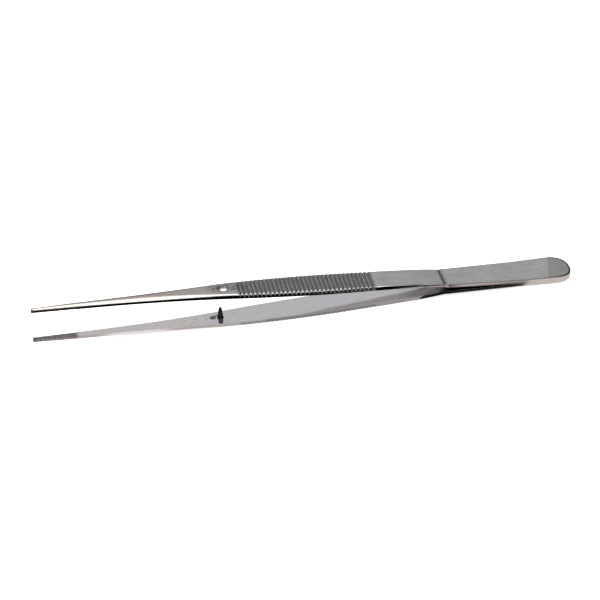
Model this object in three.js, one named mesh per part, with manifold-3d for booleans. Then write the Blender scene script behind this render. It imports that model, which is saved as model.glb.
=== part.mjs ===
// Precision tweezers with a guide pin: two sprung steel arms welded together at the heel.
// Millimetres. +X runs from the tips to the heel, +Y across the arms, +Z up. The tweezers lie on the
// lower arm, and z = 0 is its lowest point. Along an arm, u is the distance from the tips.

import * as THREE from 'three';
import { mergeVertices } from 'three/addons/utils/BufferGeometryUtils.js';
import Module from 'manifold-3d';

const wasm = await Module();
wasm.setup();

// ---- Driving dimensions -------------------------------------------------------------------------

const LENGTH = 156;               // over the tips and the heel
const HEEL_HALF_WIDTH = 5.75;
const HEEL_ROUND = 5.4;           // length of the rounded heel end
const HEEL_ROUND_POWER = 2.3;     // 2 is a true ellipse, higher is squarer
const HEEL_FALL_FRONT = 152;      // behind this the outer faces fall away towards the heel's end
const HEEL_FALL = 0.22;           // by this much each
const WELD_FRONT = 141;           // the weld runs round the heel behind this
const ARMS_MEET = 139;            // the arms lie flat on each other behind this
const FLEX = 128;                 // where each arm's spring leaf bends
const JAW_END = 50;               // an arm is drawn as a jaw, a grip and a shank, parted here
const GRIP_PART_END = 99.5;       // and here
const PARTING = 0.3;              // clear width of each parting
const SHOULDER_LEAF = 119.2;      // the thick shank steps down to the thin leaf between these two
const SHOULDER_SHANK = 117.6;
const GRIP_START = 58.4;          // ridged finger grip
const GRIP_END = 97.7;
const RIDGE_COUNT = 32;
const RIDGE_DEPTH = 0.38;
const RIDGE_SET_DOWN = 0.13;      // of the ridges' tops below the arm's outer face
const JAW_TEETH_START = 0.5;
const JAW_TEETH_LENGTH = 12;
const JAW_TOOTH_PITCH = 0.65;
const JAW_TOOTH_DEPTH = 0.14;
const JAW_TOOTH_STAND = 0.03;     // of the teeth's tips beyond the inner face, so that the cut is clean

const LEAF_HALF_GAP = 0.55;       // between the mid-plane and the leaf at the shoulder
const LEAF_THICKNESS = 1.0;
const LEAF_EDGE_ROUND = 0.12;

const PIN_U = 53.35;
const PIN_HEIGHT = 3.5;           // above the lower arm's inner face
const PIN_BASE_RADIUS = 0.92;
const PIN_TIP_RADIUS = 0.3;
const PIN_SHANK_RADIUS = 0.65;
const PIN_SHANK_CLEARANCE = 0.05;
const PIN_SEAT_CLEARANCE = 0.06;  // under the guide's base
const PIN_BASE_CHAMFER = 0.08;
const PIN_BASE_HEIGHT = 0.3;
const PIN_TIP_CHAMFER = [0.14, 0.2]; // across and along
const RIVET_INSET = 0.15;         // of the shank's end below the outer face
const PIN_SIDES = 20;
const HOLE_U = 54.4;              // guide hole in the upper arm, countersunk from inside
const HOLE_RADIUS = 1.0;
const HOLE_SINK = 0.9;            // depth of the countersink, and how much it widens the hole

const WELD_DEPTH = 0.8;           // in from the heel's outline
const WELD_HALF_HEIGHT = 0.15;
const CUTTER_MARGIN = 1;          // how far a cutting tool reaches past what it cuts

const STEEL = { color: 0xb4b4b2, roughness: 0.32, metalness: 1 };
const PIN_STEEL = { color: 0x3a3c3e, roughness: 0.35, metalness: 1 };
const WELD_STEEL = { color: 0xc2bfbb, roughness: 0.4, metalness: 1 };

// ---- Profiles along an arm ----------------------------------------------------------------------

// A smooth curve through [u, value] pairs, evaluated by u.
function profile(pairs) {
  const curve = new THREE.CubicInterpolant(pairs.map((p) => p[0]), pairs.map((p) => p[1]), 1);
  return (u) => curve.evaluate(u)[0];
}

const frontHalfGap = profile([[0, 4.4], [16, 4.48], [34, 4.42], [50, 4.14], [66, 3.53], [84, 2.66],
  [102, 1.87], [112, 1.37], [SHOULDER_LEAF, LEAF_HALF_GAP]]);
const frontThickness = profile([[0, 1.08], [10, 1.2], [20, 1.22], [40, 1.28], [62, 1.4], [84, 1.46],
  [98, 1.32], [110, 1.07], [SHOULDER_SHANK, 1.02]]);
const frontHalfWidth = profile([[0, 0.68], [6, 0.9], [24, 1.53], [34, 2.02], [44, 2.62], [54, 3.35],
  [62, 3.92], [72, 4.36], [84, 4.55], [98, 4.3], [SHOULDER_SHANK, 4.12]]);
const leafHalfWidth = profile([[SHOULDER_LEAF, 4.45], [130, 4.9], [143, 5.42], [150, 5.65],
  [LENGTH, HEEL_HALF_WIDTH]]);
const edgeRound = profile([[0, 0.56], [10, 0.85], [20, 1.2], [34, 1.6], [44, 1.25], [54, 0.55],
  [62, 0.6], [84, 0.6], [98, 0.3], [SHOULDER_SHANK, 0.12]]);
const edgeRise = profile([[0, 0.78], [20, 0.7], [34, 0.68], [58, 0.62], [70, 0.55], [84, 0.4],
  [98, 0.24], [SHOULDER_SHANK, 0.12]]);

// 0 on the shank, 1 on the leaf, smooth between.
const leafShare = (u) => THREE.MathUtils.smoothstep(u, SHOULDER_SHANK, SHOULDER_LEAF);

function halfGap(u) {
  if (u < SHOULDER_LEAF) return frontHalfGap(u);
  return LEAF_HALF_GAP * Math.max(0, (ARMS_MEET - u) / (ARMS_MEET - SHOULDER_LEAF));
}

function thickness(u) {
  const fall = HEEL_FALL * Math.max(0, (u - HEEL_FALL_FRONT) / (LENGTH - HEEL_FALL_FRONT));
  const shank = frontThickness(Math.min(u, SHOULDER_SHANK));
  return THREE.MathUtils.lerp(shank, LEAF_THICKNESS - fall, leafShare(u));
}

function heelEnd(u) {
  const into = Math.max(0, u - (LENGTH - HEEL_ROUND)) / HEEL_ROUND;
  return Math.pow(1 - Math.min(1, into) ** HEEL_ROUND_POWER, 1 / HEEL_ROUND_POWER);
}

function halfWidth(u) {
  const front = frontHalfWidth(Math.min(u, SHOULDER_SHANK));
  const leaf = leafHalfWidth(Math.max(u, SHOULDER_LEAF));
  return THREE.MathUtils.lerp(front, leaf, leafShare(u)) * heelEnd(u);
}

// How far the outer edge is rounded in from the side, and down from the outer face.
const towardLeaf = (shank, u) => THREE.MathUtils.lerp(shank, LEAF_EDGE_ROUND, leafShare(u));
const roundIn = (u) => towardLeaf(edgeRound(Math.min(u, SHOULDER_SHANK)), u);
const roundDown = (u) => towardLeaf(edgeRise(Math.min(u, SHOULDER_SHANK)), u);

const outerFace = (u) => halfGap(u) + thickness(u);
const toX = (u) => u - LENGTH / 2;

function range(from, to, steps) {
  return Array.from({ length: steps + 1 }, (_, i) => THREE.MathUtils.lerp(from, to, i / steps));
}

const MID_HEIGHT = Math.max(...range(0, LENGTH, 600).map(outerFace));

// ---- Solids -------------------------------------------------------------------------------------

function toSolid(geometry) {
  const MERGE_WITHIN = 1e-5;
  const bare = geometry.clone();
  bare.deleteAttribute('normal');
  bare.deleteAttribute('uv');
  const merged = mergeVertices(bare, MERGE_WITHIN);
  const mesh = new wasm.Mesh({
    numProp: 3,
    vertProperties: new Float32Array(merged.attributes.position.array),
    triVerts: new Uint32Array(merged.index.array),
  });
  return new wasm.Manifold(mesh);
}

function toGeometry(solid) {
  const { vertProperties, triVerts } = solid.getMesh();
  const geometry = new THREE.BufferGeometry();
  geometry.setAttribute('position', new THREE.BufferAttribute(vertProperties, 3));
  geometry.setIndex(new THREE.BufferAttribute(triVerts, 1));
  geometry.computeVertexNormals();
  return geometry;
}

// Joins rings of points, all of one length, into a closed body with a flat fan at each end.
function loft(rings) {
  const size = rings[0].length;
  const points = rings.flat();
  const index = [];
  for (let r = 0; r < rings.length - 1; r++) {
    for (let i = 0; i < size; i++) {
      const a = r * size + i;
      const b = r * size + (i + 1) % size;
      index.push(a, a + size, b, b, a + size, b + size);
    }
  }
  const last = (rings.length - 1) * size;
  for (let i = 1; i < size - 1; i++) {
    index.push(0, i, i + 1);
    index.push(last, last + i + 1, last + i);
  }
  return new THREE.BufferGeometry().setFromPoints(points).setIndex(index);
}

// The arm's section at u: a flat inner face, straight sides and a rounded outer edge.
function section(u) {
  const CORNER_STEPS = 4;
  const w = halfWidth(u);
  const inner = halfGap(u);
  const outer = outerFace(u);
  const half = [new THREE.Vector3(toX(u), -w, inner)];
  for (const turn of range(0, Math.PI / 2, CORNER_STEPS)) {
    const y = w - roundIn(u) * (1 - Math.cos(turn)) * Math.min(1, w);
    half.push(new THREE.Vector3(toX(u), -y, outer - roundDown(u) * (1 - Math.sin(turn))));
  }
  const mirrored = half.map((p) => new THREE.Vector3(p.x, -p.y, p.z)).reverse();
  return [...half, ...mirrored];
}

// ---- Cutting tools ------------------------------------------------------------------------------

// Extrudes an outline drawn in X and Z across the whole width of the arm.
function acrossArm(shape) {
  const WIDE = 8;
  const geometry = new THREE.ExtrudeGeometry(shape, { depth: 2 * WIDE, bevelEnabled: false });
  geometry.rotateX(Math.PI / 2);
  geometry.translate(0, WIDE, 0);
  return toSolid(geometry);
}

// A comb that leaves round-topped ridges standing on the outer face.
function gripCutter() {
  const ONE_RIDGE = [[0.12, RIDGE_DEPTH], [0.3, RIDGE_DEPTH], [0.48, RIDGE_SET_DOWN],
    [0.9, RIDGE_SET_DOWN]]; // share of the pitch, and depth below the outer face
  const pitch = (GRIP_END - GRIP_START) / RIDGE_COUNT;
  const above = outerFace(GRIP_START) + CUTTER_MARGIN;
  const shape = new THREE.Shape();
  shape.moveTo(toX(GRIP_START), above);
  for (let i = 0; i < RIDGE_COUNT; i++) {
    for (const [share, drop] of ONE_RIDGE) {
      const u = GRIP_START + (i + share) * pitch;
      shape.lineTo(toX(u), outerFace(u) - drop);
    }
  }
  shape.lineTo(toX(GRIP_END), above);
  shape.closePath();
  return acrossArm(shape);
}

// A row of V-shaped teeth cut across the jaw's inner face.
function jawCutter() {
  const teeth = Math.round(JAW_TEETH_LENGTH / JAW_TOOTH_PITCH);
  const end = JAW_TEETH_START + teeth * JAW_TOOTH_PITCH;
  const below = halfGap(0) - CUTTER_MARGIN;
  const shape = new THREE.Shape();
  shape.moveTo(toX(JAW_TEETH_START), below);
  for (let i = 0; i < teeth; i++) {
    const u = JAW_TEETH_START + i * JAW_TOOTH_PITCH;
    shape.lineTo(toX(u), halfGap(u) - JAW_TOOTH_STAND);
    shape.lineTo(toX(u + JAW_TOOTH_PITCH / 2), halfGap(u) + JAW_TOOTH_DEPTH);
  }
  shape.lineTo(toX(end), halfGap(end) - JAW_TOOTH_STAND);
  shape.lineTo(toX(end), below);
  shape.closePath();
  return acrossArm(shape);
}

// Turns an outline of [radius, height above the mid-plane] pairs about the upright line at u.
function turned(u, outline) {
  const geometry = new THREE.LatheGeometry(outline.map(([r, h]) => new THREE.Vector2(r, h)), PIN_SIDES);
  geometry.rotateX(Math.PI / 2);
  geometry.translate(toX(u), 0, 0);
  return toSolid(geometry);
}

// A round drill through the upper arm at u, that opens out by sink towards the inner face.
function drill(u, radius, sink = 0) {
  const below = halfGap(u) - CUTTER_MARGIN;
  const above = outerFace(u) + CUTTER_MARGIN;
  const mouth = sink > 0 ? [[radius + sink + CUTTER_MARGIN, below], [radius, halfGap(u) + sink]]
    : [[radius, below]];
  return turned(u, [[0, below], ...mouth, [radius, above], [0, above]]);
}

// The groove round the heel's edge that the weld fills, as an outline-shaped band.
function weldBand(outset) {
  const STEPS = 14;
  const rim = [...range(WELD_FRONT, LENGTH - HEEL_ROUND, 4),
    ...range(0, Math.PI / 2, STEPS).slice(1).map((a) => LENGTH - HEEL_ROUND * (1 - Math.sin(a)))];
  const edge = (grow, side) => rim.map((u) => {
    const scale = 1 + grow / HEEL_HALF_WIDTH;
    const x = u > LENGTH - HEEL_ROUND ? LENGTH - HEEL_ROUND + (u - LENGTH + HEEL_ROUND) * scale : u;
    return new THREE.Vector2(toX(x), side * halfWidth(u) * scale);
  });
  const outside = [...edge(outset, -1), ...edge(outset, 1).reverse().slice(1)];
  const inside = [...edge(-WELD_DEPTH, -1), ...edge(-WELD_DEPTH, 1).reverse().slice(1)];
  const shape = new THREE.Shape([...outside, ...inside.reverse()]);
  const geometry = new THREE.ExtrudeGeometry(shape, { depth: 2 * WELD_HALF_HEIGHT, bevelEnabled: false });
  geometry.translate(0, 0, -WELD_HALF_HEIGHT);
  return toSolid(geometry);
}

// ---- Pieces -------------------------------------------------------------------------------------

// The rear of an arm: the leaf behind the flex, flat against its twin and grooved for the weld.
function heelTab() {
  const straight = range(FLEX + PARTING / 2, ARMS_MEET, 4);
  const flat = range(ARMS_MEET, LENGTH - HEEL_ROUND, 4).slice(1);
  const END_STEPS = 14;
  const END_MARGIN = 0.004;
  const rounded = range(0, Math.PI / 2 - END_MARGIN, END_STEPS).slice(1)
    .map((a) => LENGTH - HEEL_ROUND * (1 - Math.sin(a)));
  const body = toSolid(loft([...straight, ...flat, ...rounded].map(section)));
  return body.subtract(weldBand(CUTTER_MARGIN));
}

function jaw() {
  const stations = range(0, JAW_END - PARTING / 2, 16);
  return toSolid(loft(stations.map(section))).subtract(jawCutter());
}

function grip() {
  const stations = range(JAW_END + PARTING / 2, GRIP_PART_END - PARTING / 2, 16);
  return toSolid(loft(stations.map(section))).subtract(gripCutter());
}

// The shank behind the grip, with its shoulder and the front of the spring leaf.
function shank() {
  const thick = range(GRIP_PART_END + PARTING / 2, SHOULDER_SHANK, 8);
  const step = range(SHOULDER_SHANK, SHOULDER_LEAF, 4).slice(1);
  const leaf = range(SHOULDER_LEAF, FLEX - PARTING / 2, 3).slice(1);
  return toSolid(loft([...thick, ...step, ...leaf].map(section)));
}

// A cone-shaped guide with a shank that is riveted through the lower arm. Heights are from that
// arm's inner face.
function guidePin() {
  const face = halfGap(PIN_U);
  const rivetEnd = RIVET_INSET - thickness(PIN_U);
  const [tipIn, tipDown] = PIN_TIP_CHAMFER;
  const outline = [
    [0, rivetEnd], [PIN_SHANK_RADIUS, rivetEnd], [PIN_SHANK_RADIUS, PIN_SEAT_CLEARANCE],
    [PIN_BASE_RADIUS - PIN_BASE_CHAMFER, PIN_SEAT_CLEARANCE], [PIN_BASE_RADIUS, PIN_BASE_HEIGHT],
    [PIN_TIP_RADIUS, PIN_HEIGHT - tipDown], [PIN_TIP_RADIUS - tipIn, PIN_HEIGHT], [0, PIN_HEIGHT],
  ];
  return turned(PIN_U, outline.map(([r, height]) => [r, height - face]));
}

// ---- Assembly -----------------------------------------------------------------------------------

function piece(name, solid, finish) {
  const mesh = new THREE.Mesh(toGeometry(solid), new THREE.MeshStandardMaterial(finish));
  mesh.name = name;
  return mesh;
}

// The lower arm is the upper arm turned over about the mid-plane.
function turnedOver(solid) {
  return solid.mirror([0, 0, 1]);
}

const tab = heelTab();
const shankHole = drill(PIN_U, PIN_SHANK_RADIUS + PIN_SHANK_CLEARANCE);

const tweezers = new THREE.Group();
tweezers.position.z = MID_HEIGHT;
tweezers.add(
  piece('upper_heel_tab', tab, STEEL),
  piece('lower_heel_tab', turnedOver(tab), STEEL),
  piece('heel_weld', weldBand(0), WELD_STEEL),
  piece('upper_jaw', jaw(), STEEL),
  piece('lower_jaw', turnedOver(jaw()), STEEL),
  piece('upper_grip', grip().subtract(drill(HOLE_U, HOLE_RADIUS, HOLE_SINK)), STEEL),
  piece('lower_grip', turnedOver(grip().subtract(shankHole)), STEEL),
  piece('upper_shank', shank(), STEEL),
  piece('lower_shank', turnedOver(shank()), STEEL),
  piece('guide_pin', guidePin(), PIN_STEEL),
);

export default tweezers;
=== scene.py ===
"""Precision tweezers: two sprung steel arms, a guide pin and the weld round the heel."""
import bisect
import math

import bmesh
import bpy
from mathutils import Matrix, Vector


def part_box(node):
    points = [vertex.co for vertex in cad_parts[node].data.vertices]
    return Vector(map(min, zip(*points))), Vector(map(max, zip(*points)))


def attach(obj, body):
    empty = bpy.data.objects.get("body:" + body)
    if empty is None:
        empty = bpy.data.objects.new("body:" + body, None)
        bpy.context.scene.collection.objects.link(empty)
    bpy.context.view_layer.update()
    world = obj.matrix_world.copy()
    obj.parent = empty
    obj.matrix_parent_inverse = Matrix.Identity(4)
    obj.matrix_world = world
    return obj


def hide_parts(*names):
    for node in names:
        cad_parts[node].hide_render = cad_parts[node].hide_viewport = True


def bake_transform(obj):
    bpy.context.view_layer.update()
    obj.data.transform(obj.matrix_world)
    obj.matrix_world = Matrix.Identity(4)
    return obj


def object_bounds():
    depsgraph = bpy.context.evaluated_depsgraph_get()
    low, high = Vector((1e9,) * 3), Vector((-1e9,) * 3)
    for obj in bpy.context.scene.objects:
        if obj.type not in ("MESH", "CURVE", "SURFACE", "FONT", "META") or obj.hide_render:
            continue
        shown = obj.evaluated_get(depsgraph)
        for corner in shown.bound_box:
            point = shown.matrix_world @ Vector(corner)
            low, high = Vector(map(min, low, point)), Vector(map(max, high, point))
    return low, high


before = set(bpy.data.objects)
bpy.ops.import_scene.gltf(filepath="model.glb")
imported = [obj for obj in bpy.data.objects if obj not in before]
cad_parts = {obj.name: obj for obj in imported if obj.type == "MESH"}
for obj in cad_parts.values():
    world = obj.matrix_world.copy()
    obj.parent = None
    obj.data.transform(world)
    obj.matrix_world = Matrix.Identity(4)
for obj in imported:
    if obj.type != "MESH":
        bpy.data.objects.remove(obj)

CAD_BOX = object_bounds()

# ---- Sizes, in millimetres. u runs from the tips to the heel, h up from the mid-plane ----------

MM = 0.001
LENGTH = (CAD_BOX[1].x - CAD_BOX[0].x) / MM
TIP_X = CAD_BOX[0].x / MM
MID = sum(corner.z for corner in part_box("heel_weld")) / 2 / MM
PIN_U = sum(corner.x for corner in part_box("guide_pin")) / 2 / MM - TIP_X

HEEL_ROUND = 5.4          # length of the rounded heel end
HEEL_BASE = LENGTH - HEEL_ROUND
HEEL_POWER = 2.3          # 2 is a true ellipse, higher is squarer
HEEL_FALL_FRONT = 152     # behind this the outer faces fall away towards the heel's end
HEEL_FALL = 0.22          # by this much each
ARMS_MEET = 139.0
LEAF_START, SHANK_END = 119.2, 117.6
LEAF_THICKNESS, LEAF_HALF_GAP = 1.0, 0.55
LEAF_EDGE_ROUND = 0.12

GRIP_START, GRIP_END = 58.4, 97.7
RIDGES = 32
PITCH = (GRIP_END - GRIP_START) / RIDGES
GROOVE_DEPTH = 0.38
GROOVE_AT = 0.21          # of the groove's middle, as a share of the pitch
GROOVE_FLOOR, GROOVE_MOUTH = 0.07, 0.30   # half widths, as shares of the pitch
RIDGE_CROWN = 0.11

TEETH_START, TOOTH_PITCH, TEETH, TOOTH_DEPTH = 0.5, 0.65, 18, 0.14
TEETH_END = TEETH_START + TEETH * TOOTH_PITCH
TIP_ROUND = 0.3
CREASE_U, CREASE_HALF, CREASE_DEPTH = 117.9, 0.6, 0.14   # across the shoulder

HOLE_U, HOLE_RADIUS, HOLE_SINK, HOLE_FLARE = 54.4, 1.0, 0.9, 0.06
WELD_START, WELD_DEPTH, WELD_HALF_HEIGHT = 141.0, 0.8, 0.15
WELD_SET_BACK, WELD_CROWN = 0.012, 0.006    # of the band's outer face
SHANK_RADIUS, SHANK_EASE = 0.7, 0.03        # of the hole for the pin's shank, and the room in it
SHANK_HOLE_FLARE = 0.02                     # at both of that hole's mouths
RIVET_SET_BACK, RIVET_CHAMFER = 0.02, 0.12  # of the shank's end, from the arm's outer face
FINE_STEP, COARSE_STEP = 0.1, 0.9           # along the arm, from one section to the next
EDGE_STEPS, LEAST_ROUND = 8, 0.06           # of the rounded outer edge

# The pin's cone, as (radius, height over the lower arm's inner face).
PIN_CONE = [(0.88, 0.02), (0.93, 0.07), (0.93, 0.24), (0.88, 0.36), (0.8, 0.46), (0.77, 0.6),
            (0.73, 1.0), (0.67, 1.6), (0.6, 2.15), (0.51, 2.6), (0.42, 3.0), (0.34, 3.25),
            (0.26, 3.4), (0.14, 3.48), (0, 3.5)]

# A smooth curve through each of these [u, value] lists gives the arm's section at u.
HALF_GAP = [(0, 4.4), (16, 4.48), (34, 4.42), (50, 4.14), (66, 3.53), (84, 2.66), (102, 1.87),
            (112, 1.37), (LEAF_START, LEAF_HALF_GAP)]
THICKNESS = [(0, 1.08), (10, 1.2), (20, 1.22), (40, 1.28), (62, 1.4), (84, 1.46), (98, 1.32),
             (110, 1.07), (SHANK_END, 1.02)]
HALF_WIDTH = [(0, 0.68), (6, 0.9), (24, 1.53), (34, 2.02), (44, 2.62), (54, 3.35), (62, 3.92),
              (72, 4.36), (84, 4.55), (98, 4.3), (SHANK_END, 4.12)]
LEAF_HALF_WIDTH = [(LEAF_START, 4.45), (130, 4.9), (143, 5.42), (150, 5.65), (LENGTH, 5.75)]
EDGE_IN = [(0, 0.56), (10, 0.85), (20, 1.2), (34, 1.6), (44, 1.25), (54, 0.55), (62, 0.6),
           (84, 0.6), (98, 0.3), (SHANK_END, 0.12)]
EDGE_DOWN = [(0, 0.78), (20, 0.7), (34, 0.68), (58, 0.62), (70, 0.55), (84, 0.4), (98, 0.24),
             (SHANK_END, 0.12)]


def curve_at(points, u):
    """Cubic Hermite through the points, whose slopes are the mean of the two chords at each."""
    u = min(max(u, points[0][0]), points[-1][0])
    last = len(points) - 2
    k = min(bisect.bisect_right([p[0] for p in points], u) - 1, last)

    def pace(stretch):
        (ua, va), (ub, vb) = points[stretch], points[stretch + 1]
        return (vb - va) / (ub - ua)

    (u0, v0), (u1, v1) = points[k], points[k + 1]
    m0 = (pace(max(k - 1, 0)) + pace(k)) / 2 * (u1 - u0)
    m1 = (pace(min(k + 1, last)) + pace(k)) / 2 * (u1 - u0)
    p = (u - u0) / (u1 - u0)
    return (v0 * (1 + 2 * p) * (1 - p) ** 2 + v1 * p * p * (3 - 2 * p)
            + m0 * p * (1 - p) ** 2 - m1 * p * p * (1 - p))


def smooth(low, high, x):
    """0 at low, 1 at high, easy between."""
    t = min(max((x - low) / (high - low), 0.0), 1.0)
    return t * t * (3 - 2 * t)


def mix(a, b, t):
    return a + (b - a) * t


def leaf_share(u):
    return smooth(SHANK_END, LEAF_START, u)


def inner_face(u):
    if u < LEAF_START:
        return curve_at(HALF_GAP, u)
    return LEAF_HALF_GAP * max(0.0, (ARMS_MEET - u) / (ARMS_MEET - LEAF_START))


def outer_face(u):
    fall = HEEL_FALL * max(0.0, (u - HEEL_FALL_FRONT) / (LENGTH - HEEL_FALL_FRONT))
    return inner_face(u) + mix(curve_at(THICKNESS, u), LEAF_THICKNESS - fall, leaf_share(u))


def half_width(u):
    """Half the arm's width, without the rounding of the heel's end."""
    return mix(curve_at(HALF_WIDTH, u), curve_at(LEAF_HALF_WIDTH, u), leaf_share(u))


def edge_rounding(u):
    """How far the outer edge is rounded, in from the side and down from the outer face."""
    return (mix(curve_at(EDGE_IN, u), LEAF_EDGE_ROUND, leaf_share(u)),
            mix(curve_at(EDGE_DOWN, u), LEAF_EDGE_ROUND, leaf_share(u)))


def groove_share(u):
    """1 at the floor of a grip groove, 0 on top of a ridge and off the grip."""
    if not GRIP_START <= u <= GRIP_END:
        return 0.0
    off = abs(((u - GRIP_START) / PITCH) % 1.0 - GROOVE_AT)
    return 1.0 - smooth(GROOVE_FLOOR, GROOVE_MOUTH, min(off, 1.0 - off))


def outer_drop(u):
    """How far the outer face is cut down at u, by the grip and by the crease of the shoulder."""
    if not GRIP_START <= u <= GRIP_END:
        return CREASE_DEPTH * max(0.0, 1 - abs(u - CREASE_U) / CREASE_HALF)
    off = ((u - GRIP_START) / PITCH - GROOVE_AT - 0.5) % 1.0
    crown = RIDGE_CROWN * (2 * min(off, 1.0 - off)) ** 2
    return crown + (GROOVE_DEPTH - crown) * groove_share(u)


def tooth_rise(u):
    """How far the inner face is cut away at u by the teeth of the jaw."""
    along = (u - TEETH_START) / TOOTH_PITCH
    if not 0 <= along <= TEETH:
        return 0.0
    return TOOTH_DEPTH * (1 - abs(2 * (along % 1.0) - 1))


# ---- Mesh building -----------------------------------------------------------------------------

def spread(start, end, step):
    count = max(1, math.ceil((end - start) / step - 1e-6))
    return [start + (end - start) * i / count for i in range(count)]


def arm_section(u, inset=0.0):
    """One side of the arm's section, from the middle of the inner face to the middle of the outer
    face: [(share of the flat face or None, distance in from the side, height), ...]."""
    low, high = inner_face(u) + inset, outer_face(u) - inset
    across, down = (max(r - inset, LEAST_ROUND) for r in edge_rounding(u))
    half = [(share, 0.0, low) for share in (0, 0.25, 0.5, 0.75, 0.97, 1)]
    half += [(None, 0.0, mix(low, high - down, share)) for share in (0.06, 0.5, 0.94)]
    for k in range(EDGE_STEPS + 1):
        turn = math.radians(90 * k / EDGE_STEPS)
        half.append((None, across * (1 - math.cos(turn)), high - down * (1 - math.sin(turn))))
    half += [(share, across, high) for share in (0.97, 0.8, 0.6, 0.4, 0.2, 0)]
    top, bottom = high - outer_drop(u), low + tooth_rise(u)
    return [(share, d, min(max(h, bottom), top)) for share, d, h in half]


def arm_ring(half, place):
    """The closed ring of points, where place(distance in, share across) gives (u, y)."""
    ring = []
    for side in (1, -1):
        points = half if side > 0 else half[-2:0:-1]
        for share, d, h in points:
            u, y = place(d, 1.0 if share is None else share)
            ring.append((u, side * y, h))
    return ring


def straight_ring(u, inset=0.0, at=None):
    """The ring of the section at u, moved in by inset and placed at another u where one is given."""
    width = half_width(u) - inset
    return arm_ring(arm_section(u, inset),
                    lambda d, share: (u if at is None else at, (width - d) * share))


def heel_curve(turn):
    """Shares along and across the heel's rounded end, and its half width, at a turn from 0 to 1."""
    angle = turn * math.pi / 2
    along = math.sin(angle) ** (2 / HEEL_POWER)
    across = max(math.cos(angle), 0.0) ** (2 / HEEL_POWER)
    return along, across, mix(half_width(HEEL_BASE), half_width(LENGTH), along)


def heel_ring(turn):
    """A ring on the heel's rounded end, where turn goes from 0 at the sides to 1 at the very end."""
    along, across, width = heel_curve(turn)
    return arm_ring(arm_section(HEEL_BASE + HEEL_ROUND * along), lambda d, share: (
        HEEL_BASE + (HEEL_ROUND - d) * along, (width - d) * across * share))


def tip_rings(steps=5):
    """Rings that shrink towards the very tip."""
    turns = [math.pi / 2 * k / steps for k in range(steps)]
    return [straight_ring(0.0, TIP_ROUND * (1 - math.sin(turn)), TIP_ROUND * (1 - math.cos(turn)))
            for turn in turns]


def arm_rings(heel_steps=40):
    stations = (spread(TIP_ROUND, TEETH_START, FINE_STEP)
                + spread(TEETH_START, TEETH_END, TOOTH_PITCH / 6)
                + spread(TEETH_END, GRIP_START, COARSE_STEP)
                + spread(GRIP_START, GRIP_END, PITCH / 14)
                + spread(GRIP_END, SHANK_END - CREASE_HALF, COARSE_STEP)
                + spread(SHANK_END - CREASE_HALF, LEAF_START + CREASE_HALF, FINE_STEP)
                + spread(LEAF_START + CREASE_HALF, HEEL_BASE, COARSE_STEP))
    return (tip_rings() + [straight_ring(u) for u in stations]
            + [heel_ring(k / heel_steps) for k in range(heel_steps + 1)])


def skin(name, rings):
    """A closed mesh over rings of (u, y, h) points, capped at both ends."""
    mesh = bpy.data.meshes.new(name)
    size = len(rings[0])
    points = [((TIP_X + u) * MM, y * MM, (MID + h) * MM) for ring in rings for u, y, h in ring]
    faces = []
    for r in range(len(rings) - 1):
        for i in range(size):
            a, b = r * size + i, r * size + (i + 1) % size
            faces.append((a, b, b + size, a + size))
    last = (len(rings) - 1) * size
    faces += [tuple(reversed(range(size))), tuple(range(last, last + size))]
    mesh.from_pydata(points, [], faces)
    tidy(mesh)
    return mesh


def tidy(mesh):
    """Merges doubled points, and turns every face outward."""
    bm = bmesh.new()
    bm.from_mesh(mesh)
    bmesh.ops.remove_doubles(bm, verts=bm.verts, dist=1e-7)
    bmesh.ops.dissolve_degenerate(bm, edges=bm.edges, dist=1e-8)
    bmesh.ops.recalc_face_normals(bm, faces=bm.faces)
    bm.to_mesh(mesh)
    bm.free()
    mesh.update()


def lathe(name, outline, u, segments=64):
    """Turns an outline of (radius, h) about the upright line at u."""
    mesh = bpy.data.meshes.new(name)
    bm = bmesh.new()
    verts = [bm.verts.new(((TIP_X + u + r) * MM, 0, (MID + h) * MM)) for r, h in outline]
    edges = [bm.edges.new(pair) for pair in zip(verts, verts[1:])]
    bmesh.ops.spin(bm, geom=verts + edges, axis=(0, 0, 1), cent=((TIP_X + u) * MM, 0, 0),
                   angle=2 * math.pi, steps=segments, use_duplicate=False)
    bm.to_mesh(mesh)
    bm.free()
    tidy(mesh)
    return mesh


def add(name, mesh):
    piece = bpy.data.objects.new(name, mesh)
    bpy.context.scene.collection.objects.link(piece)
    return piece


def cut(piece, cutter_mesh):
    """Cuts the closed cutter mesh out of the piece for good."""
    cutter = add("cutter", cutter_mesh)
    change = piece.modifiers.new("cut", "BOOLEAN")
    change.operation, change.solver, change.object = "DIFFERENCE", "EXACT", cutter
    graph = bpy.context.evaluated_depsgraph_get()
    piece.data = bpy.data.meshes.new_from_object(piece.evaluated_get(graph))
    piece.modifiers.clear()
    bpy.data.objects.remove(cutter)


def smooth_shade(mesh, sharp_degrees=38):
    mesh.shade_smooth()
    mesh.set_sharp_from_angle(angle=math.radians(sharp_degrees))


# ---- Finish zones, stored on the mesh so that they move with it ---------------------------------

ON_FACE, ON_SIDE = 0.02, 0.05     # how near a point on a face or a side lies to it
TEETH_REACH = 0.2                 # how far past the teeth, and above them, their painted shade reaches
GRIP_FADE, GROUND_FADE = 0.3, 0.5
WALL_START, WALL_END = 15, LEAF_START - 0.2    # the polished sides of the upper arm
STREAK_RISE, STREAK_FALL = (17, 24), (42, 34)  # the painted highlight streak on the lower arm's sides


def store(mesh, name, values):
    layer = mesh.attributes.new(name, "FLOAT", "POINT")
    layer.data.foreach_set("value", values)


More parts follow.
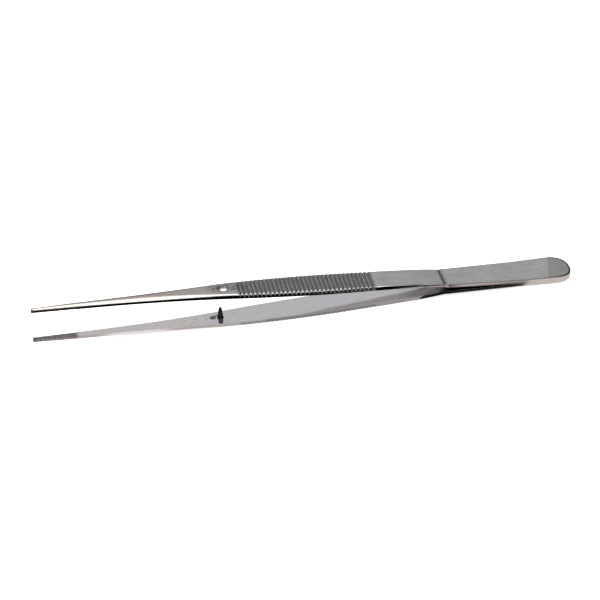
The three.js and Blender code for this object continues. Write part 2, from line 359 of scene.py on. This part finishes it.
def depth_in(u, y):
    """Roughly how far a point lies in from the arm's outline, seen from above."""
    if u < HEEL_BASE:
        return half_width(u) - abs(y)
    reach = (((u - HEEL_BASE) / HEEL_ROUND) ** HEEL_POWER
             + (abs(y) / half_width(u)) ** HEEL_POWER)
    return (1 - reach ** (1 / HEEL_POWER)) * HEEL_ROUND


def in_hole(u, y, h):
    """Whether a point is on the wall of the guide hole."""
    wall = HOLE_RADIUS + max(0.0, inner_face(HOLE_U) + HOLE_SINK - h)
    return abs(math.hypot(u - HOLE_U, y) - wall) < ON_SIDE


def finish_of(u, y, h, upper):
    """Each finish zone's share at a point of an arm, with h away from the mid-plane. "wall" is the
    upper arm's polished sides, "ground" the ground sides along the leaf, "face" the outer face with
    its rounded edges, and "depth" how far in from the outline the point lies, up to 1."""
    low, high, in_from_edge = inner_face(u), outer_face(u), depth_in(u, y)
    wall = in_from_edge < ON_SIDE and low + ON_FACE < h < high - ON_FACE
    toothed = h < low + TEETH_REACH or (wall and not upper)
    ground_from = LEAF_START + 0.4 if upper else WELD_START - 2
    inner = h < low + ON_FACE + tooth_rise(u) or (upper and in_hole(u, y, h) and h < high - ON_FACE)
    top = smooth(low, high - GROOVE_DEPTH, h)
    return {
        "upper": float(upper),
        "wall": float(upper and wall and WALL_START < u < WALL_END),
        "inner": float(inner),
        "groove": groove_share(u) * top,
        "grip": (smooth(GRIP_START, GRIP_START + GRIP_FADE, u)
                 * smooth(GRIP_END, GRIP_END - GRIP_FADE, u) * top),
        "crease": (1 - smooth(0.25, 0.85, abs(u - CREASE_U))) * top,
        "ground": smooth(ground_from - GROUND_FADE, ground_from + GROUND_FADE, u) * float(wall),
        "depth": min(in_from_edge, 1.0),
        "face": float(h > high - edge_rounding(u)[1] - 0.01),
        "teeth": float(u < TEETH_END + TEETH_REACH and toothed),
        "streak": float(wall and not upper) * smooth(*STREAK_RISE, u) * smooth(*STREAK_FALL, u),
    }


def mark_rest(mesh, folded=False):
    """Stores where each point lies at rest, as (u, y, h), and gives the list. Folded, h is the
    distance from the mid-plane either way."""
    places = [(v.co.x / MM - TIP_X, v.co.y / MM, v.co.z / MM - MID) for v in mesh.vertices]
    if folded:
        places = [(u, y, abs(h)) for u, y, h in places]
    layer = mesh.attributes.new("rest", "FLOAT_VECTOR", "POINT")
    layer.data.foreach_set("vector", [value for place in places for value in place])
    return places


def mark_arm(mesh, upper):
    """Stores where each point lies at rest, and which finish it has."""
    finishes = [finish_of(*place, upper) for place in mark_rest(mesh, folded=True)]
    for zone in finishes[0]:
        store(mesh, zone, [finish[zone] for finish in finishes])


# ---- Materials -----------------------------------------------------------------------------------

class Nodes:
    """Short calls for building one material's nodes."""

    def __init__(self, name):
        self.material = bpy.data.materials.new(name)
        self.material.use_nodes = True
        self.tree = self.material.node_tree
        self.shader = self.tree.nodes["Principled BSDF"]

    def node(self, kind, **settings):
        made = self.tree.nodes.new(kind)
        for key, value in settings.items():
            setattr(made, key, value)
        return made

    def plug(self, socket, value):
        if isinstance(value, bpy.types.NodeSocket):
            self.tree.links.new(value, socket)
        else:
            socket.default_value = value

    def attribute(self, name, output="Fac"):
        return self.node("ShaderNodeAttribute", attribute_name=name).outputs[output]

    def at(self, scale=(1, 1, 1)):
        """The rest position in millimetres, scaled."""
        mapping = self.node("ShaderNodeMapping")
        self.plug(mapping.inputs["Vector"], self.attribute("rest", "Vector"))
        mapping.inputs["Scale"].default_value = scale
        return mapping.outputs["Vector"]

    def noise(self, scale, detail=2.0, rough=0.5, stretch=(1, 1, 1)):
        made = self.node("ShaderNodeTexNoise")
        self.plug(made.inputs["Vector"], self.at(stretch))
        made.inputs["Scale"].default_value = scale
        made.inputs["Detail"].default_value = detail
        made.inputs["Roughness"].default_value = rough
        return made.outputs["Fac"]

    def spot(self, u, y, long, wide, turn=0.0):
        """1 in the middle of an elliptical mark at (u, y), falling to 0 at its outline."""
        mapping = self.node("ShaderNodeMapping", vector_type="TEXTURE")
        self.plug(mapping.inputs["Vector"], self.at((1, 1, 0)))
        mapping.inputs["Location"].default_value = (u, y, 0)
        mapping.inputs["Rotation"].default_value = (0, 0, math.radians(turn))
        mapping.inputs["Scale"].default_value = (long, wide, 1)
        reach = self.node("ShaderNodeVectorMath", operation="LENGTH")
        self.plug(reach.inputs[0], mapping.outputs["Vector"])
        return self.fit(reach.outputs["Value"], 1.0, 0.55)

    def math(self, operation, a, b):
        made = self.node("ShaderNodeMath", operation=operation)
        self.plug(made.inputs[0], a)
        self.plug(made.inputs[1], b)
        return made.outputs[0]

    def times(self, product, *others):
        for other in others:
            product = self.math("MULTIPLY", product, other)
        return product

    def without(self, share):
        """1 where the share is 0."""
        return self.math("SUBTRACT", 1.0, share)

    def fit(self, value, low, high, to_low=0.0, to_high=1.0):
        """The value's stretch from low to high, moved to another stretch and clamped."""
        made = self.node("ShaderNodeMapRange")
        for socket, given in zip(made.inputs, (value, low, high, to_low, to_high)):
            self.plug(socket, given)
        return made.outputs["Result"]

    def blend(self, share, a, b):
        """Between two colours."""
        made = self.node("ShaderNodeMix", data_type="RGBA")
        self.plug(made.inputs["Factor"], share)
        self.plug(made.inputs["A"], a)
        self.plug(made.inputs["B"], b)
        return made.outputs["Result"]

    def lerp(self, share, a, b):
        """Between two numbers."""
        made = self.node("ShaderNodeMix", data_type="FLOAT")
        self.plug(made.inputs["Factor"], share)
        self.plug(made.inputs["A"], a)
        self.plug(made.inputs["B"], b)
        return made.outputs["Result"]

    def bump(self, height, millimetres, under=None):
        made = self.node("ShaderNodeBump")
        made.inputs["Distance"].default_value = millimetres * MM
        self.plug(made.inputs["Height"], height)
        if under is not None:
            self.plug(made.inputs["Normal"], under)
        return made.outputs["Normal"]

    def metal(self, colour, roughness, normal):
        """Finishes the material as bare metal."""
        self.plug(self.shader.inputs["Base Color"], colour)
        self.plug(self.shader.inputs["Roughness"], roughness)
        self.plug(self.shader.inputs["Normal"], normal)
        self.shader.inputs["Metallic"].default_value = 1.0
        return self.material


# Colours of the arms. Outside:
SATIN, SATIN_PALE = (0.50, 0.50, 0.50, 1), (0.55, 0.55, 0.545, 1)
SATIN_AT_JAWS = (0.56, 0.49, 0.45, 1)
SPECKS = (0.36, 0.35, 0.34, 1)
DULL_HEEL = (0.34, 0.34, 0.33, 1)
GRIP_STEEL, GRIP_DIRT, GRIP_WORN = (
    (0.33, 0.345, 0.34, 1), (0.13, 0.14, 0.135, 1), (0.62, 0.63, 0.62, 1))
# Painted shade at the floors of the grip's grooves:
GROOVE_SHADE = (0.17, 0.185, 0.18, 1)
# Painted shade along the crease of the shoulder:
CREASE_SHADE = (0.13, 0.13, 0.13, 1)
# Inside:
POLISH_AT_JAWS, POLISH = (0.89, 0.83, 0.83, 1), (0.80, 0.80, 0.84, 1)
# Painted shade on the inner faces between the arms, from the leaf back:
SHADE_BETWEEN_LEAVES = (0.16, 0.14, 0.13, 1)
POLISH_CLOUDED = (0.78, 0.79, 0.78, 1)
STAINS = (0.48, 0.45, 0.44, 1)
# Along the sides and edges, and at the tips:
GROUND_SIDES = (0.82, 0.79, 0.775, 1)
# Painted dark reflection along the outer edges of the shank, leaf and heel:
DARK_RIM_REFLECTION = (0.05, 0.05, 0.05, 1)
POLISHED_SIDES = (0.82, 0.80, 0.80, 1)
# Painted highlight streak along the lower arm's sides:
STREAK_HIGHLIGHT = (0.98, 0.96, 0.96, 1)
# Painted shade between the teeth and along the lower jaw's sides:
TEETH_SHADE = (0.17, 0.16, 0.155, 1)
# Painted shade at the very tips:
TIP_SHADE = (0.16, 0.15, 0.15, 1)
SMUDGES = (0.07, 0.065, 0.06, 1)


def satin_colour(n, u, y, cloud, grip):
    """Ground satin, warmer over the jaws, dull behind a slanting line at the heel, worn on the grip."""
    speck, worn = n.noise(2.2, 5, 0.75), n.noise(3.4, 4, 0.75)
    satin = n.blend(n.fit(cloud, 0.35, 0.65), SATIN, SATIN_PALE)
    satin = n.blend(n.fit(u, 42, 60, 0.9, 0), satin, SATIN_AT_JAWS)
    satin = n.blend(n.fit(speck, 0.62, 0.78, 0, 0.4), satin, SPECKS)
    aslant = n.math("SUBTRACT", u, n.times(y, 0.26))
    dull = n.times(n.fit(aslant, 149.3, 149.8), n.fit(speck, 0.35, 0.6, 0.45, 0.9))
    satin = n.blend(dull, satin, DULL_HEEL)
    satin = n.blend(n.times(grip, 0.75), satin, GRIP_STEEL)
    satin = n.blend(n.times(grip, n.fit(worn, 0.42, 0.58, 0.6, 0)), satin, GRIP_DIRT)
    return n.blend(n.times(grip, n.fit(worn, 0.55, 0.68, 0, 0.5)), satin, GRIP_WORN)


def polish_colour(n, u, mottle):
    """Bright polish, with painted shade between the arms from the leaf back, clouded in places and
    stained most before the grip.
    """
    polish = n.blend(n.fit(u, 40, 70), POLISH_AT_JAWS, POLISH)
    polish = n.blend(n.fit(u, 104, 121), polish, SHADE_BETWEEN_LEAVES)
    polish = n.blend(n.fit(n.noise(0.16, 2, 0.5), 0.4, 0.62, 0, 0.5), polish, POLISH_CLOUDED)
    stained = n.times(n.fit(u, 28, 44, 0.35, 1), n.fit(u, 56, 72, 1, 0.3),
                      n.fit(mottle, 0.5, 0.66, 0, 0.6))
    return n.blend(stained, polish, STAINS)


def painted_dark_rim(n, u):
    """Where the outer face of the shank and the leaf turns dark, close to its edge: a painted dark
    reflection.
    """
    none_past, full_within = n.fit(u, 147, 153, 0.36, 0.75), n.fit(u, 147, 153, 0.18, 0.35)
    near_edge = n.fit(n.attribute("depth"), none_past, full_within)
    return n.times(near_edge, n.fit(u, 97, 103), n.attribute("face"), n.fit(u, 151, 154, 0.85, 1))


def arm_colour(n, u, y, cloud, inner, smudge, mottle):
    """The colours of both faces, then each mark laid over them in turn."""
    # Patches that vary the painted shade in the grooves and between the teeth.
    shade_patches = n.noise(2.6, 3, 0.6)
    satin = satin_colour(n, u, y, cloud, n.attribute("grip"))
    colour = n.blend(inner, satin, polish_colour(n, u, mottle))
    for share, mark in (
            (n.attribute("ground"), GROUND_SIDES),
            # painted shade in the grooves
            (n.times(n.attribute("groove"), n.fit(shade_patches, 0.35, 0.65, 0.5, 1.0)), GROOVE_SHADE),
            # painted shade in the crease
            (n.times(n.attribute("crease"), 0.85), CREASE_SHADE),
            # painted dark reflection along the edges
            (painted_dark_rim(n, u), DARK_RIM_REFLECTION),
            (n.attribute("wall"), POLISHED_SIDES),
            # painted highlight streak
            (n.attribute("streak"), STREAK_HIGHLIGHT),
            # painted shade between the teeth
            (n.times(n.attribute("teeth"), n.fit(shade_patches, 0.38, 0.6, 0.4, 0.95)), TEETH_SHADE),
            # painted shade at the tips
            (n.fit(u, 1.6, 0.3, 0, 0.7), TIP_SHADE),
            (n.times(smudge, 0.9), SMUDGES)):
        colour = n.blend(share, colour, mark)
    return colour


def smudges(n, inner, mottle):
    """Dark marks outside the upper arm, round its hole, and inside the lower arm, by the pin."""
    upper = n.attribute("upper")
    by_hole = n.times(n.spot(HOLE_U + 1.0, 0.8, 7.5, 3.2), n.fit(mottle, 0.43, 0.53), 0.85)
    by_hole = n.math("MAXIMUM", by_hole, n.spot(HOLE_U - 0.75, 0.55, 1.9, 1.7))
    by_pin = n.math("MAXIMUM", n.spot(PIN_U - 2.1, 0.35, 1.3, 1.15, 25),
                    n.times(n.spot(PIN_U - 1.5, 0.9, 1.9, 0.6, 30), 0.8))
    return n.math("MAXIMUM", n.times(by_hole, upper, n.without(inner)),
                  n.times(by_pin, inner, n.without(upper)))


def arm_roughness(n, cloud, inner, smudge):
    rough = n.lerp(inner, n.fit(cloud, 0.3, 0.7, 0.23, 0.28), n.fit(cloud, 0.3, 0.7, 0.07, 0.13))
    for zone, roughness in (("wall", 0.08), ("ground", 0.3), ("groove", 0.38)):
        rough = n.lerp(n.attribute(zone), rough, roughness)
    return n.math("ADD", rough, n.times(smudge, 0.15))


def arm_relief(n, inner):
    """Grain along the arm, fainter on the polish, over slow waves and a pitted grip."""
    grain = n.noise(9, 3, 0.7, (0.06, 1, 1))
    relief = n.bump(n.times(grain, n.lerp(inner, 1.0, 0.2)), 0.01)
    relief = n.bump(n.noise(0.5, 2, 0.5, (0.4, 1, 1)), 0.015, relief)
    return n.bump(n.times(n.noise(2.0, 3, 0.7), n.attribute("grip")), 0.06, relief)


def arm_steel():
    """Satin ground outside, brightly polished inside, with painted shade in the grooves and between the
    teeth.
    """
    n = Nodes("arm_steel")
    rest = n.node("ShaderNodeSeparateXYZ")
    n.plug(rest.inputs[0], n.attribute("rest", "Vector"))
    u, y = rest.outputs["X"], rest.outputs["Y"]
    inner = n.attribute("inner")
    cloud, mottle = n.noise(0.35, 4, 0.6, (0.5, 1, 1)), n.noise(1.1, 5, 0.7)
    smudge = smudges(n, inner, mottle)
    return n.metal(arm_colour(n, u, y, cloud, inner, smudge, mottle),
                   arm_roughness(n, cloud, inner, smudge), arm_relief(n, inner))


def weld_steel():
    """Weld metal ground flush, matt and a little warmer than the arms."""
    n = Nodes("weld_steel")
    ripple = n.noise(1.6, 3, 0.6, (1, 1, 2))
    marks = n.noise(9, 2, 0.6, (0.3, 1, 3))
    colour = n.blend(n.fit(ripple, 0.4, 0.62), (0.70, 0.67, 0.65, 1), (0.82, 0.79, 0.77, 1))
    return n.metal(colour, n.fit(ripple, 0.3, 0.7, 0.38, 0.5), n.bump(marks, 0.01))


def pin_steel():
    """Dark turned steel, with fine rings round it."""
    n = Nodes("pin_steel")
    rings = n.noise(9, 2, 0.6, (0.2, 0.2, 3))
    wear = n.noise(2.5, 4, 0.7)
    colour = n.blend(n.fit(wear, 0.5, 0.7), (0.035, 0.035, 0.037, 1), (0.08, 0.08, 0.08, 1))
    return n.metal(colour, n.fit(wear, 0.35, 0.65, 0.26, 0.36), n.bump(rings, 0.01))


# ---- Pieces --------------------------------------------------------------------------------------

def mirror(mesh):
    """Mirrors the mesh in the mid-plane, which makes a lower arm of an upper one."""
    mesh.transform(Matrix.Translation((0, 0, 2 * MID * MM)) @ Matrix.Scale(-1, 4, (0, 0, 1)))
    mesh.flip_normals()


def hole_cutter(u, radius, flare, sink):
    """A round cutter that opens out by the flare at the outer face, and by sink at the inner."""
    low, high = inner_face(u), outer_face(u)
    outline = [(0, low - 1), (radius + sink + 1, low - 1), (radius, low + sink),
               (radius, high - flare), (radius + flare, high), (radius + flare, high + 1),
               (0, high + 1)]
    return lathe("cutter", outline, u)


def heel_outline(d, step=0.8, turns=36):
    """The heel's outline from one weld end round to the other, moved in by d: [(u, y), ...]."""
    half = [(u, half_width(u) - d) for u in spread(WELD_START, HEEL_BASE, step)]
    for k in range(turns + 1):
        along, across, width = heel_curve(k / turns)
        half.append((HEEL_BASE + (HEEL_ROUND - d) * along, (width - d) * across))
    return half + [(u, -y) for u, y in half[-2::-1]]


def weld_mesh(name, outside, crown):
    """The weld's band round the heel: flat sides, and an outer face crowned by a little."""
    top = WELD_HALF_HEIGHT
    section = [(WELD_DEPTH, -top), (-outside, -top), (-outside - crown, -top / 2),
               (-outside - crown, top / 2), (-outside, top), (WELD_DEPTH, top)]
    lines = [[(u, y, h) for u, y in heel_outline(d)] for d, h in section]
    return skin(name, list(zip(*lines)))


def make_arm(name, upper, steel):
    arm = add(name, skin(name, arm_rings()))
    cut(arm, weld_mesh("cutter", outside=1.0, crown=0.0))
    if upper:
        cut(arm, hole_cutter(HOLE_U, HOLE_RADIUS, HOLE_FLARE, HOLE_SINK))
    else:
        cut(arm, hole_cutter(PIN_U, SHANK_RADIUS, SHANK_HOLE_FLARE, SHANK_HOLE_FLARE))
        mirror(arm.data)
    tidy(arm.data)
    mark_arm(arm.data, upper)
    smooth_shade(arm.data)
    arm.data.materials.clear()
    arm.data.materials.append(steel)
    side = "upper" if upper else "lower"
    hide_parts(*(f"{side}_{part}" for part in ("heel_tab", "jaw", "grip", "shank")))
    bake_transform(arm)


def make_weld(steel):
    weld = add("weld_band", weld_mesh("weld_band", -WELD_SET_BACK, WELD_CROWN))
    mark_rest(weld.data)
    smooth_shade(weld.data)
    weld.data.materials.append(steel)
    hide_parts("heel_weld")
    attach(weld, "heel")


def make_pin(steel):
    """A cone with a flared base, and a shank riveted through the lower arm."""
    face, end = -inner_face(PIN_U), -outer_face(PIN_U) + RIVET_SET_BACK
    shank = SHANK_RADIUS - SHANK_EASE
    outline = [(0, end), (shank - RIVET_CHAMFER, end), (shank, end + RIVET_CHAMFER),
               (shank, face + PIN_CONE[0][1])]
    outline += [(r, face + h) for r, h in PIN_CONE]
    pin = add("pin", lathe("pin", outline, PIN_U))
    mark_rest(pin.data)
    smooth_shade(pin.data)
    pin.data.materials.append(steel)
    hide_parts("guide_pin")
    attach(pin, "lower_half")


# ---- Studio: camera, floor and light, in metres --------------------------------------------------

MIDDLE = Vector((0, 0, MID * MM))
WHITE = (1, 1, 1, 1)
CARD_LIFT = 0.0003        # of the cards that lie over the bounce cards
VIEW_AZIMUTH, VIEW_ELEVATION, VIEW_ROLL = (math.radians(a) for a in (-10.364, 32.251, -0.535))
VIEW_DISTANCE, LENS = 0.6444, 135.56
VIEW_RIGHT, VIEW_UP = -0.001557, -0.001064

# Black cards: one in front of the jaws, the grip and the shanks, and a small one that
# the sides of the lower shank and the lower leaf reflect, a painted shadow in place of the floor's
# shade beside them.
BLACK_FOREGROUND = [(-0.8, -0.013), (-0.8, -0.6), (0.0445, -0.6), (0.0445, -0.0097),
                    (0.0425, -0.0093), (0.0399, -0.0096), (0.0372, -0.0101), (0.0343, -0.0106),
                    (0.0314, -0.0108), (0.024, -0.0105), (0.006, -0.012)]
SHADOW_CARD_BESIDE_LEAF = [(0.031, -0.0030), (0.036, -0.0084), (0.0575, -0.0083), (0.0655, -0.0080),
                     (0.0655, -0.0077), (0.0585, -0.0030)]


def make_camera():
    a, e = VIEW_AZIMUTH, VIEW_ELEVATION
    back = Vector((math.sin(a) * math.cos(e), -math.cos(a) * math.cos(e), math.sin(e)))
    right = Matrix.Rotation(VIEW_ROLL, 3, back) @ Vector((math.cos(a), math.sin(a), 0))
    up = back.cross(right)
    camera = bpy.data.objects.new("camera", bpy.data.cameras.new("camera"))
    bpy.context.scene.collection.objects.link(camera)
    camera.data.lens = LENS
    camera.matrix_world = Matrix.Translation(
        MIDDLE + back * VIEW_DISTANCE + right * VIEW_RIGHT + up * VIEW_UP
    ) @ Matrix((right, up, back)).transposed().to_4x4()
    bpy.context.scene.camera = camera


def resting_plane():
    """The frame of the surface that the lower arm rests on, under the middle of the tweezers."""
    heel = outer_face(HEEL_FALL_FRONT)
    slope = max((outer_face(u) - heel) / (HEEL_FALL_FRONT - u) for u in spread(0, 140, 0.5))
    middle = Vector((0, 0, (MID - heel - slope * (HEEL_FALL_FRONT - LENGTH / 2)) * MM))
    return Matrix.Translation(middle) @ Matrix.Rotation(-math.atan(slope), 4, "Y")


def sheet(name, outline, place, lean=0):
    """A flat sheet with that outline, placed on the resting plane and leant about its X."""
    mesh = bpy.data.meshes.new(name)
    mesh.from_pydata([(x, y, 0) for x, y in outline], [], [tuple(range(len(outline)))])
    flat = add(name, mesh)
    flat.matrix_world = (resting_plane() @ Matrix.Translation(place)
                         @ Matrix.Rotation(math.radians(lean), 4, "X"))
    return flat


def oblong(width, depth):
    x, y = width / 2, depth / 2
    return [(-x, -y), (x, -y), (x, y), (-x, y)]


def glow(flat, base, emission, tint=WHITE):
    """Gives a studio sheet a matt material that also glows."""
    n = Nodes(flat.name)
    n.shader.inputs["Base Color"].default_value = (base, base, base, 1)
    n.shader.inputs["Roughness"].default_value = 1.0
    n.shader.inputs["Specular IOR Level"].default_value = 0.0
    n.shader.inputs["Emission Color"].default_value = tint
    n.shader.inputs["Emission Strength"].default_value = emission
    flat.data.materials.append(n.material)


def make_floor():
    floor = sheet("floor", oblong(12, 12), (0, 0, 0))
    glow(floor, base=0.7, emission=0.75)
    floor.visible_glossy = False


def make_card(name, outline, place, brightness, tint=WHITE, lean=0):
    """A studio card that only reflections show."""
    card = sheet(name, outline, place, lean)
    glow(card, base=0.0, emission=brightness, tint=tint)
    card.visible_camera = False
    card.visible_diffuse = False
    card.visible_shadow = False


def make_light(name, place, size, power):
    light = bpy.data.lights.new(name, "AREA")
    light.shape, light.size, light.size_y = "RECTANGLE", size[0], size[1]
    light.energy = power
    lamp = bpy.data.objects.new(name, light)
    bpy.context.scene.collection.objects.link(lamp)
    lamp.location = place
    lamp.rotation_mode = "QUATERNION"
    lamp.rotation_quaternion = (MIDDLE - Vector(place)).to_track_quat("-Z", "Y")


def make_world():
    """White behind the tweezers for the camera. The rest sees grey, darker near the horizon."""
    world = bpy.data.worlds.new("studio")
    bpy.context.scene.world = world
    world.use_nodes = True
    tree = world.node_tree
    direction = tree.nodes.new("ShaderNodeTexCoord")
    height = tree.nodes.new("ShaderNodeSeparateXYZ")
    grey = tree.nodes.new("ShaderNodeMapRange")
    path = tree.nodes.new("ShaderNodeLightPath")
    share = tree.nodes.new("ShaderNodeMix")
    tree.links.new(direction.outputs["Generated"], height.inputs[0])
    tree.links.new(height.outputs["Z"], grey.inputs["Value"])
    for name, value in (("From Min", 0.28), ("From Max", 0.50), ("To Min", 0.2), ("To Max", 0.56)):
        grey.inputs[name].default_value = value
    share.inputs["B"].default_value = 1.0
    tree.links.new(path.outputs["Is Camera Ray"], share.inputs["Factor"])
    tree.links.new(grey.outputs["Result"], share.inputs["A"])
    tree.links.new(share.outputs["Result"], tree.nodes["Background"].inputs["Color"])


def make_studio():
    make_camera()
    make_floor()
    make_world()
    make_light("overhead", place=(0, 0, 1.0), size=(1.6, 1.7), power=17)
    make_card("bounce_at_jaws", oblong(6, 6), (-3.012, -3, 0), 0.78, (1, 0.97, 0.97, 1))
    make_card("bounce_at_grip", oblong(0.048, 6), (0.012, -3, 0), 0.6, (1, 0.94, 0.92, 1))
    make_card("bounce_at_heel", oblong(6, 6), (3.036, -3, 0), 0.68, (1, 0.9, 0.87, 1))
    make_card("bounce_behind", oblong(12, 6), (0, 3, 0), 0.42, (1, 0.93, 0.88, 1))
    make_card("white_behind_hole", oblong(0.018, 0.016), (-0.0235, 0.0115, CARD_LIFT), 1.2)
    make_card("black_foreground", BLACK_FOREGROUND, (0, 0, CARD_LIFT), 0)
    # A black sheet seen only in reflections: painted shadow of the floor beside the lower leaf.
    make_card("shadow_card_beside_leaf", SHADOW_CARD_BESIDE_LEAF, (0, 0, CARD_LIFT), 0)
    make_card("black_front", oblong(1.6, 0.25), (0, -0.6, 0.125), 0, lean=90)
    bpy.context.scene.view_settings.view_transform = "Standard"


def main():
    steel = arm_steel()
    make_arm("upper_tweezer_arm", True, steel)
    make_arm("lower_tweezer_arm", False, steel)
    make_weld(weld_steel())
    make_pin(pin_steel())
    make_studio()


main()
